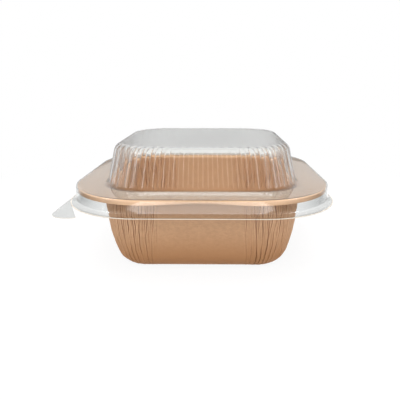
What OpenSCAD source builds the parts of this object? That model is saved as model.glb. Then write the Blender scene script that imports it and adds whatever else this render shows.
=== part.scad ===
// Square paper food tray with a clear lid.
// The tray is one sheet of pressed paper board: a flat underside with a rounded edge, tapering walls
// with a plain panel in the middle of each side and creases round each corner, and a wide flat rim
// whose outer edge is turned down. The lid is one formed sheet of clear film: a ribbed dome, a flange
// that lies on the rim, a skirt over the rim's edge, and a lip with a pull tab at one corner.
// Origin: centre of the tray's underside. Front is -Y, and the pull tab is at the front left corner.

/* [Tray] */
// Height from the flat underside to the top of the rim
tray_height = 50.5; // [40:0.5:70]
// Thickness of the paper board
board = 0.6; // [0.4:0.05:0.9]
// Width across the rim's turned-down edges
rim_width = 150.8; // [146:0.2:170]
// Radius of the rim's corners, seen from above
rim_corner = 46; // [30:1:50]
// Width of the mouth, between the inner ends of the rim's flat
mouth_width = 119; // [117:0.5:126]
// Radius of the mouth's corners, seen from above
mouth_corner = 24.3; // [20:0.1:28]
// Radius over the edge of the mouth
mouth_round = 2.2; // [1.4:0.1:3]
// Width of the flat of the underside
base_width = 81; // [76:0.2:90]
// Radius of the wall's corners where the wall meets the rounded bottom edge
base_corner = 20; // [15:0.5:22]
// Radius of the rounded bottom edge
base_round = 13.2; // [9:0.1:14]
// How far the middle of the wall's height stands outside a straight slope
wall_bow = 1.45; // [0:0.05:2.5]
// Radius over the rim's turned-down edge
edge_round = 1; // [0.95:0.05:1.2]
// Depth of the turned-down edge in the middle of each side
edge_drop_middle = 1.5; // [1.3:0.1:3]
// Depth of the turned-down edge round the corners
edge_drop_corner = 2.9; // [2:0.1:5]
// How far from the middle of each side the turned-down edge reaches that depth
edge_drop_reach = 30; // [20:1:45]

/* [Creases] */
// Width of the plain panel in the middle of each side, at the mouth
panel_width = 48; // [40:1:54]
// How much wider the plain panel is at the foot of the wall than at the mouth
panel_spread = 5; // [0:0.5:8]
// Creases from one plain panel round the corner to the next
creases = 16; // [10:1:18]
// Depth of the main creases
crease_depth = 0.55; // [0.2:0.05:0.8]
// Depth of the short creases between them, at the top of the wall
short_crease_depth = 0.35; // [0:0.05:0.5]
// Share of the wall's height that the short creases run down
short_crease_reach = 0.65; // [0.4:0.05:0.9]
// How unevenly the creases lie, as a share of their spacing
crease_wander = 0.22; // [0:0.02:0.3]

/* [Lid] */
// Thickness of the clear film
film = 0.4; // [0.3:0.05:0.6]
// Gap between the rim's edge and the skirt round it
skirt_gap = 0.4; // [0.3:0.05:0.8]
// Height of the dome above the top of the flange
dome_height = 22.9; // [15:0.1:35]
// Width of the dome's flat top
dome_top_width = 96.2; // [90:0.2:102]
// Radius of the flat top's corners
dome_top_corner = 21; // [12:0.1:30]
// How far the foot of the dome's wall lies inside the mouth
dome_inset = 2.7; // [2.4:0.1:4]
// Radius of the dome's corners at the foot of its wall
dome_foot_corner = 26; // [20:0.5:30]
// Radius of the dome's shoulder
shoulder_round = 5.1; // [3:0.1:6]
// Radius of the fillet between the dome and the flange
foot_round = 3.1; // [1:0.1:3.1]
// Radius over the outer edge of the flange
bend_round = 0.9; // [0.8:0.1:1.4]
// Height of the skirt's upright part, with the bend
skirt_height = 7.9; // [6:0.1:9]
// How far the skirt leans outward over its upright part
skirt_draft = 0.3; // [0:0.05:0.8]
// How far the flare below the skirt runs outward
flare_run = 1.4; // [1:0.1:4]
// How far the flare drops
flare_drop = 1.4; // [1:0.1:3]
// Width of the flat lip round the foot of the flare
lip_width = 0.9; // [0.5:0.1:2]
// How much less the radius of the lip's outer corners is than that of corners in line with the skirt's
lip_sharpen = 4.4; // [0:0.2:6]

/* [Ribs] */
// Ribs from the middle of one side of the dome to the middle of the next
ribs = 18; // [12:1:22]
// How far the ribs stand out
rib_height = 0.35; // [0.2:0.05:0.6]
// Width of a rib at its foot, as a share of the ribs' spacing
rib_share = 0.66; // [0.3:0.02:0.8]
// Width of each sloping side of a rib, as a share of the rib's width
rib_flank = 0.24; // [0.15:0.01:0.45]

/* [Pull tab] */
// Width of the tab along its far edge
tab_width = 14.2; // [10:0.1:18]
// Radius of the tab's outer corner
tab_corner = 8.5; // [2:0.1:9]
// Radius of the tab's inner corner
tab_inner_corner = 1.5; // [1:0.1:2]
// How far the tab's far edge lies inside the line of the lip's straight side
tab_trim = 1.2; // [0:0.1:2]
// Slant of the tab's edge beside the slot, in degrees
tab_slant = 22; // [5:1:40]

/* [Hidden] */

// Points along each crease spacing of the tray and each rib spacing of the dome
CREASE_POINTS = 4;
RIB_POINTS = 4;
// Where those points of the tray lie in a crease spacing: the main crease, the near edge of the land, the
// short crease in the land, and its far edge
CREASE_ALONG = [0, 0.17, 0.5, 0.83];
// Share of a main crease's depth at the mouth, and how far the uneven values change that share
CREASE_AT_MOUTH = 0.75;
CREASE_CHANGE = 0.35;
// Flat steps across each plain panel of the tray
PANEL_STEPS = 4;
// Steps in the rounded edges
ROUND_STEPS = 3;
// How soon creases and ribs reach their full depth round an edge; 1 is at its end, more is sooner
FADE_PACE = 1.5;
// Steps down the height of the tray's wall
WALL_STEPS = 3;
// Seed of the creases' uneven spacing and depth
CREASE_SEED = 11;
// Rib spacings along the neck of the tab, and steps round each of its corners
TAB_CELLS = 2;
TAB_STEPS = 4;

// Half-widths of the tray
panel_half = panel_width / 2;
rim_half = rim_width / 2;
mouth_half = mouth_width / 2;
base_half = base_width / 2;

// Lean of the wall at its foot and at its top, measured from the upright
wall_run = mouth_half - mouth_round - base_half - base_round;
wall_rise = tray_height - mouth_round - base_round;
foot_lean = atan((wall_run + 4 * wall_bow) / wall_rise);
top_lean = atan((wall_run - 4 * wall_bow) / wall_rise);

// Heights and half-widths of the lid
flange_top = tray_height + film;
dome_top = flange_top + dome_height;
dome_top_half = dome_top_width / 2;
dome_foot_half = mouth_half - dome_inset;
skirt_half = rim_half + skirt_gap + film;
skirt_corner = rim_corner + skirt_gap + film;
skirt_foot = flange_top - skirt_height;
lip_inner = skirt_half + skirt_draft + flare_run;
lip_outer = lip_inner + lip_width;
lip_top = skirt_foot - flare_drop;
lip_corner = skirt_corner + lip_outer - skirt_half - lip_sharpen;
dome_lean = atan((dome_foot_half - dome_top_half - shoulder_round) / (dome_height - shoulder_round));
flange_inner = dome_foot_half + foot_round * tan((90 - dome_lean) / 2);
flare_slope = atan(flare_drop / flare_run);

// Cells of one quarter of the tray's outline: the plain panel's steps, then the creases' spacings
tray_cells = PANEL_STEPS + creases;

// Uneven values from -1 to 1, four for each crease of each corner
crease_noise = rands(-1, 1, 16 * (creases + 1), CREASE_SEED);

function mix(a, b, t) = a + (b - a) * t;

function smooth(t) = let (u = min(max(t, 0), 1)) u * u * (3 - 2 * u);

// A place on a rounded square and its outward direction, as [x, y, nx, ny]. It runs from the point
// "flat" off the middle of the +X side (f = 0), round the corner, to the like point of the +Y side.
function on_corner(half, corner, flat, f) =
    let (
        straight = half - corner - flat,
        bend = corner * PI / 2,
        d = f * (2 * straight + bend),
        a = (d - straight) / corner * 180 / PI
    )
    d <= straight ? [half, flat + d, 1, 0]
    : d >= straight + bend ? [half - corner - (d - straight - bend), half, 0, 1]
    : [half - corner + corner * cos(a), half - corner + corner * sin(a), cos(a), sin(a)];

// A place turned by a number of quarter turns about the Z axis
function turned(v, quarter) =
    quarter == 0 ? v : turned([-v[1], v[0], -v[3], v[2]], quarter - 1);

// A place of the outline raised to z and moved out by "proud" along a normal that rises by "tilt"
function lifted(v, z, proud, tilt) =
    [v[0] + proud * cos(tilt) * v[2], v[1] + proud * cos(tilt) * v[3], z + proud * sin(tilt)];

// Noise of crease n of a corner; "kind" picks one of its four values
function noise(quarter, n, kind) = crease_noise[(quarter * (creases + 1) + n) * 4 + kind];

// Where crease n lies along its corner's outline, from 0 to 1; down is 0 at the mouth and 1 at the foot
function crease_place(quarter, n, down) =
    let (wander = mix(noise(quarter, n, 0), noise(quarter, n, 1), down) * crease_wander)
    (n + (n == 0 || n == creases ? 0 : wander)) / creases;

// Depth of main crease n, as a share of crease_depth
function crease_share(quarter, n, down) =
    mix(CREASE_AT_MOUTH, 1, down) + CREASE_CHANGE * mix(noise(quarter, n, 2), noise(quarter, n, 3), down);

// Depth of a short crease as a share of its full depth
function short_share(down) = 1 - smooth(down / short_crease_reach);

// One point of the tray's outline in cell n of a quarter. Within a crease spacing, step 0 is the main
// crease, 1 and 3 are the edges of the lands and 2 is the short crease between them.
function tray_point(ring, quarter, n, step) =
    let (
        half = ring[0], z = ring[1], corner = ring[2], tilt = ring[3], depth = ring[4], down = ring[5],
        on_panel = n < PANEL_STEPS,
        first = n - PANEL_STEPS,
        along = CREASE_ALONG[step],
        flat = panel_half + panel_spread / 2 * down,
        across = mix(-flat, flat, (n + step / CREASE_POINTS) / PANEL_STEPS),
        f = on_panel ? 0
            : mix(crease_place(quarter, first, down), crease_place(quarter, first + 1, down), along),
        place = on_panel ? [half, across, 1, 0] : on_corner(half, corner, flat, f),
        before = (quarter + 3) % 4,
        cut = on_panel && (n > 0 || step > 0) ? 0
            : on_panel ? crease_depth * crease_share(before, creases, down)
            : step == 0 ? crease_depth * crease_share(quarter, first, down)
            : step == 2 ? short_crease_depth * short_share(down)
            : 0
    )
    lifted(turned(place, quarter), z, -depth * cut, tilt);

// One ring of the tray as points. A creased ring has several points in each cell, a plain ring one.
// ring is [half-width, z, corner radius, tilt of the surface's normal, depth of the creases, down].
function tray_ring(ring, points_per_cell) = [
    for (quarter = [0:3], n = [0:tray_cells - 1], step = [0:points_per_cell - 1])
        tray_point(ring, quarter, n, step)
];

// Depth of the turned-down edge beside a point of the rim
function edge_drop(x, y) =
    mix(edge_drop_middle, edge_drop_corner, smooth(min(abs(x), abs(y)) / edge_drop_reach));

// A ring of the rim's cut edge: it hangs below the top of the rim by the edge's depth
function edge_ring(half) = [
    for (p = tray_ring([half, tray_height, rim_corner + half - rim_half, 0, 0, 0], 1))
        [p[0], p[1], tray_height - edge_drop(p[0], p[1])]
];

// The two faces of the wall: "inset" is 0 for the outside and the board's thickness for the inside
function wall_top(inset) = [
    mouth_half - (mouth_round - board + inset) * cos(top_lean),
    tray_height - mouth_round + (mouth_round - board + inset) * sin(top_lean)
];
function wall_foot(inset) = [
    base_half + (base_round - inset) * cos(foot_lean),
    base_round - (base_round - inset) * sin(foot_lean)
];

// Corner radius of the wall at a share of the way down
function wall_corner(inset, down) =
    mix(mouth_corner - mouth_round + board, base_corner, down) - inset;

// Rings of one face of the wall, from the mouth to the foot
function wall_rings(inset) = [
    for (i = [0:WALL_STEPS])
        let (
            down = i / WALL_STEPS,
            top = wall_top(inset),
            foot = wall_foot(inset),
            bow = 4 * wall_bow * down * (1 - down)
        )
        [mix(top[0], foot[0], down) + bow, mix(top[1], foot[1], down), wall_corner(inset, down),
         -mix(top_lean, foot_lean, down), 1, down]
];

// Rings of one face of the rounded bottom edge, from the flat to just short of the wall
function base_rings(inset) = [
    for (i = [0:ROUND_STEPS - 1])
        let (
            t = i / ROUND_STEPS,
            a = mix(-90, -foot_lean, t),
            half = base_half + (base_round - inset) * cos(a),
            z = base_round + (base_round - inset) * sin(a)
        )
        [half, z, wall_corner(inset, 1) - (wall_foot(inset)[0] - half), a, smooth(t * FADE_PACE), 1]
];

// Ring half-way round the edge of the mouth; radius is that of the face
function mouth_ring(radius) =
    let (a = mix(90, 180 - top_lean, 0.5))
    [mouth_half + radius * cos(a), tray_height - mouth_round + radius * sin(a),
     mouth_corner + radius * cos(a), 180 - a, 0.5, 0];

// A plain ring on the rim
function rim_ring(half, z) = [half, z, rim_corner + half - rim_half, 0, 0, 0];

// Index lists of a closed ring that starts at vertex "first"
function loop(first, count) = [for (i = [0:count]) first + i % count];

// Faces between two index lists of one length, the first below or inside the second
function strip(a, b) = [
    for (i = [0:len(a) - 2])
        each [[a[i], b[i + 1], a[i + 1]], [a[i], b[i], b[i + 1]]]
];

// Faces from a plain ring up to a ring with "times" as many points
function fan_out(a, b, times) =
    let (middle = floor(times / 2))
    [
        for (i = [0:len(a) - 2])
            each concat(
                [for (j = [0:1:middle - 1]) [a[i], b[i * times + j], b[i * times + j + 1]]],
                [[a[i], b[i * times + middle], a[i + 1]]],
                [for (j = [middle:1:times - 1]) [a[i + 1], b[i * times + j], b[i * times + j + 1]]]
            )
    ];

// Faces from a ring with "times" as many points up to a plain ring
function fan_in(a, b, times) = [for (face = fan_out(b, a, times)) [face[0], face[2], face[1]]];

// Faces between two rings of any of the two counts
function band(a, b) =
    len(a) == len(b) ? strip(a, b)
    : len(a) < len(b) ? fan_out(a, b, (len(b) - 1) / (len(a) - 1))
    : fan_in(a, b, (len(a) - 1) / (len(b) - 1));

// Number of the first vertex of each ring in a list of rings
function ring_starts(rings, n = 0, total = 0) =
    n == len(rings) ? [] : concat([total], ring_starts(rings, n + 1, total + len(rings[n])));

// All the points of a shell: its rings, then the middles of its two flat ends
function shell_points(rings) = concat(
    [for (ring = rings) each ring],
    [[0, 0, rings[0][0].z], [0, 0, rings[len(rings) - 1][0].z]]
);

// Faces between the rings of a shell, with its two flat ends; the band numbered "open" is left out
function shell_faces(rings, open = -1) =
    let (
        starts = ring_starts(rings),
        loops = [for (i = [0:len(rings) - 1]) loop(starts[i], len(rings[i]))],
        last = len(rings) - 1,
        middle = starts[last] + len(rings[last])
    )
    concat(
        [for (i = [0:len(rings[0]) - 1]) [middle, loops[0][i], loops[0][i + 1]]],
        [for (i = [0:last - 1]) if (i != open) each band(loops[i], loops[i + 1])],
        [for (i = [0:len(rings[last]) - 1]) [middle + 1, loops[last][i + 1], loops[last][i]]]
    );

// All the tray's rings: out along the underside, up the outside, over the rim, down the inside
function tray_rings() = concat(
    [tray_ring(base_rings(0)[0], 1)],
    [for (i = [1:ROUND_STEPS - 1]) tray_ring(base_rings(0)[i], CREASE_POINTS)],
    [for (i = [WALL_STEPS:-1:0]) tray_ring(wall_rings(0)[i], CREASE_POINTS)],
    [tray_ring(mouth_ring(mouth_round - board), CREASE_POINTS)],
    [tray_ring([mouth_half, tray_height - board, mouth_corner, 0, 0, 0], 1)],
    [tray_ring(rim_ring(rim_half - edge_round, tray_height - board), 1)],
    [tray_ring(rim_ring(rim_half - board, tray_height - edge_round), 1)],
    [edge_ring(rim_half - board)],
    [edge_ring(rim_half)],
    [for (i = [0:ROUND_STEPS])
        let (a = 90 * i / ROUND_STEPS)
        tray_ring(rim_ring(rim_half - edge_round * (1 - cos(a)),
                           tray_height - edge_round * (1 - sin(a))), 1)],
    [tray_ring([mouth_half, tray_height, mouth_corner, 0, 0, 0], 1)],
    [tray_ring(mouth_ring(mouth_round), CREASE_POINTS)],
    [for (i = [0:WALL_STEPS]) tray_ring(wall_rings(board)[i], CREASE_POINTS)],
    [for (i = [ROUND_STEPS - 1:-1:1]) tray_ring(base_rings(board)[i], CREASE_POINTS)],
    [tray_ring(base_rings(board)[0], 1)]
);

module tray() {
    rings = tray_rings();
    color([0.78, 0.60, 0.43])
        polyhedron(shell_points(rings), shell_faces(rings), convexity = 12);
}

// One ring of the lid as points. ring is [half-width, z, corner radius, tilt of the surface's normal,
// height of the ribs]. A plain ring has one point in each cell; on a ribbed ring, steps 0 and 3 are the
// feet of the rib in the middle of the cell and 1 and 2 are the ends of its flat crest.
function lid_ring(ring, points_per_cell) =
    let (
        foot = (1 - rib_share) / 2,
        crest = foot + rib_share * rib_flank,
        along = points_per_cell == 1 ? [0] : [foot, crest, 1 - crest, 1 - foot]
    )
    [
        for (quarter = [0:3], n = [0:ribs - 1], step = [0:points_per_cell - 1])
            let (place = on_corner(ring[0], ring[2], 0, (n + along[step]) / ribs))
            lifted(turned(place, quarter), ring[1], step == 1 || step == 2 ? ring[4] : 0, ring[3])
    ];

// Rings of one face of the dome, from the flat top to the flange; "inset" is 0 on the outside and the
// film's thickness on the inside
function dome_rings(inset) = concat(
    [for (i = [0:ROUND_STEPS])
        let (
            t = i / ROUND_STEPS,
            a = mix(90, dome_lean, t),
            run = (shoulder_round - inset) * cos(a)
        )
        [dome_top_half + run, dome_top - shoulder_round + (shoulder_round - inset) * sin(a),
         dome_top_corner + run, a, rib_height * smooth(t * FADE_PACE)]],
    [for (i = [0:ROUND_STEPS])
        let (
            t = i / ROUND_STEPS,
            a = mix(dome_lean, 90, t),
            run = flange_inner - (foot_round + inset) * cos(a)
        )
        [run, flange_top + foot_round - (foot_round + inset) * sin(a),
         dome_foot_corner + run - dome_foot_half, a, rib_height * (1 - smooth(t * FADE_PACE))]]
);

// Rings of one face of the flange's outer edge, the skirt and the lip
function skirt_sections(inset) = concat(
    [for (i = [0:ROUND_STEPS])
        let (a = 90 - 90 * i / ROUND_STEPS)
        [skirt_half - bend_round + (bend_round - inset) * cos(a),
         flange_top - bend_round + (bend_round - inset) * sin(a)]],
    [[skirt_half + skirt_draft - inset, skirt_foot - inset * tan((90 - flare_slope) / 2)],
     [lip_inner - inset * tan(flare_slope / 2), lip_top - inset],
     [lip_outer, lip_top - inset]]
);
function skirt_rings(inset) =
    let (upright = skirt_half + skirt_draft)
    [
        for (s = skirt_sections(inset))
            let (flare = max(0, (s[0] - upright) / (lip_outer - upright)))
            [s[0], s[1], skirt_corner + s[0] - skirt_half - lip_sharpen * flare, 0, 0]
    ];

// Only the rings of the dome's shoulder and wall carry ribs
function lid_side(inset) =
    let (dome = dome_rings(inset), last = len(dome) - 1)
    concat(
        [for (i = [0:last]) lid_ring(dome[i], i == 0 || i == last ? 1 : RIB_POINTS)],
        [for (s = skirt_rings(inset)) lid_ring(s, 1)]
    );

function reversed(list) = [for (i = [len(list) - 1:-1:0]) list[i]];

// The neck of the tab: the cells of the lip's outer ring, in the front left quarter, from the end of
// the straight side to the apex of the slot beside the tab
side_run = lip_outer - lip_corner;
tab_first = ceil(side_run / (2 * side_run + lip_corner * PI / 2) * ribs);

// A rounded outer corner of the tab: points of an arc round the centre from angle a to angle b
function arc(centre, radius, a, b, steps) = [
    for (i = [0:steps]) let (t = mix(a, b, i / steps)) centre + radius * [cos(t), sin(t)]
];

// Outline of the tab from its neck on the side, round its two corners, back to the slot. The tab fills
// the square corner of the sheet: its outer edge runs on from the lip's straight side.
function tab_outline() =
    let (far = tab_trim - lip_outer)
    concat(
        arc([tab_corner - lip_outer, far + tab_corner], tab_corner, 180, 270, TAB_STEPS),
        arc([tab_width - lip_outer - tab_inner_corner, far + tab_inner_corner],
            tab_inner_corner, 270, 360 + tab_slant, TAB_STEPS)
    );

module lid() {
    rings = concat(lid_side(film), reversed(lid_side(0)));
    starts = ring_starts(rings);
    per_side = len(lid_side(0));
    cells = 4 * ribs;
    // The lip's outer ring, below and above, and where the tab leaves and rejoins it
    low = starts[per_side - 1];
    high = starts[per_side];
    from = 2 * ribs + tab_first;
    to = from + TAB_CELLS;
    outline = tab_outline();
    count = len(outline);
    points = shell_points(rings);
    total = len(points);
    tab_low = [for (i = [0:count - 1]) total + i];
    tab_high = [for (i = [0:count - 1]) total + count + i];
    tab_points = concat(
        [for (p = outline) [p[0], p[1], lip_top - film]],
        [for (p = outline) [p[0], p[1], lip_top]]
    );
    neck = [for (i = [from:to]) i];
    rest = [for (i = [to:cells + from]) i % cells];
    faces = concat(
        shell_faces(rings, per_side - 1),
        strip([for (i = rest) low + i], [for (i = rest) high + i]),
        strip(concat([low + from], tab_low, [low + to]), concat([high + from], tab_high, [high + to])),
        [concat([for (i = neck) high + i], reversed(tab_high))],
        [reversed(concat([for (i = neck) low + i], reversed(tab_low)))]
    );
    color([0.86, 0.88, 0.89, 0.4])
        polyhedron(concat(points, tab_points), faces, convexity = 12);
}

tray();
lid();
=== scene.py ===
"""Looks of a square paper food tray with a clear lid.

Both pieces are sheets that were pressed or drawn over a mould, so each is a closed shell of rings. A ring is
a rounded square, and a geometry tree lays its points, then presses the tray's creases and the lid's ribs.
"""

import logging
import math
from dataclasses import dataclass, field, replace
from enum import Enum
from typing import Iterable, Sequence, Union

import bpy
import numpy as np
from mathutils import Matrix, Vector


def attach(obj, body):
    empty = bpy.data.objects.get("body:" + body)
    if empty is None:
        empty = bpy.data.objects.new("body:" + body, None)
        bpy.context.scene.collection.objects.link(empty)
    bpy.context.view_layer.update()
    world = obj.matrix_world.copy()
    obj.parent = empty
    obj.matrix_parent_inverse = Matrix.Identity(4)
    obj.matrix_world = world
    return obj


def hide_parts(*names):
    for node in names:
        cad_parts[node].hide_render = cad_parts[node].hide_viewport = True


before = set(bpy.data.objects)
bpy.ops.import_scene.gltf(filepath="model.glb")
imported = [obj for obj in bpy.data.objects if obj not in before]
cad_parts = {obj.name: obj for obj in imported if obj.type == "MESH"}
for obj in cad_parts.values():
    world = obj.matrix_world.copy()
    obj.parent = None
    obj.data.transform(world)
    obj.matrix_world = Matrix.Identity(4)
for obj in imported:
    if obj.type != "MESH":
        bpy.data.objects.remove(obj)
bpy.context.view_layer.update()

MM = 0.001
QUARTERS = 4
THIRDS = (0.33, 0.66, 1.0)
MIX_A, MIX_B, MIXED = 6, 7, 2
log = logging.getLogger("tray")

Number = Union["Field", float]
Value = Union["Field", bpy.types.NodeSocket, float, Sequence[float]]
Colour = tuple[int, int, int]
Span = tuple[float, float]
Spread = tuple[float, float, float, float]


def mix(a: float, b: float, t: float) -> float:
    """Returns the value a share t of the way from a to b."""
    return a + (b - a) * t


def smooth(t: float) -> float:
    """Returns t eased at both ends, kept from 0 to 1."""
    u = min(max(t, 0.0), 1.0)
    return u * u * (3 - 2 * u)


def linear(red: int, green: int, blue: int, alpha: float = 1.0) -> tuple[float, float, float, float]:
    """Turns a colour as a screen shows it into scene values.

    Args:
        red: Red, 0 to 255.
        green: Green, 0 to 255.
        blue: Blue, 0 to 255.
        alpha: Cover, 0 to 1.

    Returns:
        The colour as linear red, green and blue, and the alpha.
    """
    parts = [v / 255 for v in (red, green, blue)]
    r, g, b = (v / 12.92 if v <= 0.04045 else ((v + 0.055) / 1.055) ** 2.4 for v in parts)
    return (r, g, b, alpha)


class Socket(Enum):
    """Kinds of socket on a node tree's interface."""

    NUMBER = "NodeSocketFloat"
    VECTOR = "NodeSocketVector"
    GEOMETRY = "NodeSocketGeometry"
    MATERIAL = "NodeSocketMaterial"


def feed(tree: bpy.types.NodeTree, slots: Iterable[bpy.types.NodeSocket], values: Iterable[Value]) -> None:
    """Gives sockets their values, by links or as plain values.

    Args:
        tree: The tree.
        slots: The sockets.
        values: One value for each socket, as far as they go.
    """
    for slot, value in zip(slots, values):
        source = value.socket if isinstance(value, Field) else value
        if isinstance(source, bpy.types.NodeSocket):
            tree.links.new(source, slot)
        else:
            slot.default_value = source


def dress(tree: bpy.types.NodeTree, node: bpy.types.Node, values: dict[str, Value]) -> bpy.types.Node:
    """Gives a node's named inputs their values.

    Args:
        tree: The tree.
        node: The node.
        values: The values, by the inputs' names.

    Returns:
        The node.
    """
    feed(tree, [node.inputs[label] for label in values], values.values())
    return node


@dataclass(frozen=True)
class Field:
    """A number that varies over a piece: a socket of a node tree, with arithmetic that adds nodes."""

    tree: bpy.types.NodeTree
    socket: bpy.types.NodeSocket

    def math(self, operation: str, *others: Number) -> "Field":
        """Adds a Math node.

        Args:
            operation: The node's operation.
            others: The second and third numbers.

        Returns:
            The node's result.
        """
        node = self.tree.nodes.new("ShaderNodeMath")
        node.operation = operation
        feed(self.tree, node.inputs, (self, *others))
        return Field(self.tree, node.outputs[0])

    def __add__(self, other: Number) -> "Field":
        """Sum."""
        return self.math("ADD", other)

    def __sub__(self, other: Number) -> "Field":
        """Difference."""
        return self.math("SUBTRACT", other)

    def __rsub__(self, other: float) -> "Field":
        """A plain number less this one."""
        return self.math("MULTIPLY_ADD", -1.0, other)

    def __mul__(self, other: Number) -> "Field":
        """Product."""
        return self.math("MULTIPLY", other)

    def __truediv__(self, other: Number) -> "Field":
        """Quotient."""
        return self.math("DIVIDE", other)

    def at_least(self, other: Number) -> "Field":
        """The larger of the two."""
        return self.math("MAXIMUM", other)

    def at_most(self, other: Number) -> "Field":
        """The smaller of the two."""
        return self.math("MINIMUM", other)

    def ramp(self, low: Number, high: Number, start: float = 0.0, end: float = 1.0) -> "Field":
        """Maps this number smoothly from low and high to start and end.

        Args:
            low: The number that gives start.
            high: The number that gives end.
            start: The result at low.
            end: The result at high.

        Returns:
            The eased result.
        """
        node = self.tree.nodes.new("ShaderNodeMapRange")
        node.interpolation_type = "SMOOTHSTEP"
        feed(self.tree, node.inputs, (self, low, high, start, end))
        return Field(self.tree, node.outputs[0])


def vector(x: Number, y: Number, z: Number, tree: bpy.types.NodeTree) -> bpy.types.NodeSocket:
    """Joins three numbers in a tree into a vector.

    Args:
        x: First part.
        y: Second part.
        z: Third part.
        tree: The tree.

    Returns:
        The vector's socket.
    """
    node = tree.nodes.new("ShaderNodeCombineXYZ")
    feed(tree, node.inputs, (x, y, z))
    return node.outputs[0]


def part(tree: bpy.types.NodeTree, place: bpy.types.NodeSocket, axis: str) -> Field:
    """Reads one part of a vector.

    Args:
        tree: The tree.
        place: The vector.
        axis: X, Y or Z.

    Returns:
        The part.
    """
    node = tree.nodes.new("ShaderNodeSeparateXYZ")
    tree.links.new(place, node.inputs[0])
    return Field(tree, node.outputs[axis])


def noise(tree: bpy.types.NodeTree, place: bpy.types.NodeSocket, scale: Number, detail: float = 2.0,
          rough: float = 0.5) -> Field:
    """Adds noise to a tree.

    Args:
        tree: The tree.
        place: Where to read the noise.
        scale: How many patches in one unit.
        detail: Finer layers.
        rough: Strength of the finer layers.

    Returns:
        The noise, about 0.5 with 0.2 on either side.
    """
    node = tree.nodes.new("ShaderNodeTexNoise")
    dress(tree, node, {"Vector": place, "Scale": scale, "Detail": detail, "Roughness": rough})
    return Field(tree, node.outputs[0])


@dataclass(frozen=True)
class Ring:
    """A ring of a shell: a rounded square, and how the surface stands there.

    tilt is the angle of the surface's normal above the level, in degrees. press is the share of the full
    depth of creases or ribs, down runs from 0 at the top of a wall to 1 at its foot, hem is the share of
    the turned-down edge's extra depth at the corners, and side is 1 where the band after it has the second
    finish.
    """

    half: float
    rise: float
    corner: float
    tilt: float = 0.0
    press: float = 0.0
    down: float = 0.0
    hem: float = 0.0
    side: float = 0.0


RING_FIELDS = ("half", "rise", "corner", "tilt", "press", "down", "hem")


@dataclass
class Shell:
    """A closed shell of rings before its points are laid, as numbers kept on each point."""

    name: str
    rings: Sequence[Ring]
    turns: Sequence[float]
    open_band: int = -1
    extra_points: list[tuple[float, float, float]] = field(default_factory=list)
    extra_faces: list[list[int]] = field(default_factory=list)
    extra_sides: list[float] = field(default_factory=list)

    @property
    def round_count(self) -> int:
        """Points in one ring."""
        return QUARTERS * len(self.turns)

    def index(self, ring: int, column: int) -> int:
        """Number of the point of a ring in a column, counted round."""
        return ring * self.round_count + column % self.round_count

    def build(self) -> bpy.types.Object:
        """Makes the mesh with its numbers.

        Returns:
            The object, with every point but the extra ones still unplaced.
        """
        count, last = self.round_count, len(self.rings) - 1
        faces: list[list[int]] = []
        sides: list[float] = []
        for ring in range(last):
            if ring == self.open_band:
                continue
            sides += [self.rings[ring].side] * count
            faces += [[self.index(ring, c), self.index(ring, c + 1), self.index(ring + 1, c + 1),
                       self.index(ring + 1, c)] for c in range(count)]
        first_middle = count * len(self.rings)
        faces += [[first_middle, self.index(0, c + 1), self.index(0, c)] for c in range(count)]
        faces += [[first_middle + 1, self.index(last, c), self.index(last, c + 1)] for c in range(count)]
        faces += self.extra_faces
        sides += [self.rings[0].side] * count + [self.rings[last].side] * count + self.extra_sides
        middles = [(0.0, 0.0, self.rings[0].rise), (0.0, 0.0, self.rings[last].rise)]
        points = [(0.0, 0.0, 0.0)] * first_middle + middles + self.extra_points
        mesh = bpy.data.meshes.new(self.name)
        mesh.from_pydata(points, [], faces)
        free = np.zeros(len(points))
        free[first_middle:] = 1
        self.keep(mesh, "free", free)
        self.keep(mesh, "turn", np.tile(self.turns, QUARTERS * len(self.rings)))
        self.keep(mesh, "quarter", np.tile(np.repeat(np.arange(QUARTERS), len(self.turns)), len(self.rings)))
        for label in RING_FIELDS:
            self.keep(mesh, label, np.repeat([getattr(ring, label) for ring in self.rings], count))
        mesh.attributes.new("side", "FLOAT", "FACE").data.foreach_set("value", np.asarray(sides, np.float32))
        made = bpy.data.objects.new(self.name, mesh)
        bpy.context.scene.collection.objects.link(made)
        return made

    @staticmethod
    def keep(mesh: bpy.types.Mesh, label: str, values: Iterable[float]) -> None:
        """Keeps one number on each point, with the last one repeated for points that have none.

        Args:
            mesh: The mesh.
            label: The number's name.
            values: The numbers, in the order of the points.
        """
        given = np.asarray(list(values), np.float32)
        whole = np.full(len(mesh.vertices), given[-1], np.float32)
        whole[: len(given)] = given
        mesh.attributes.new(label, "FLOAT", "POINT").data.foreach_set("value", whole)


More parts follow.
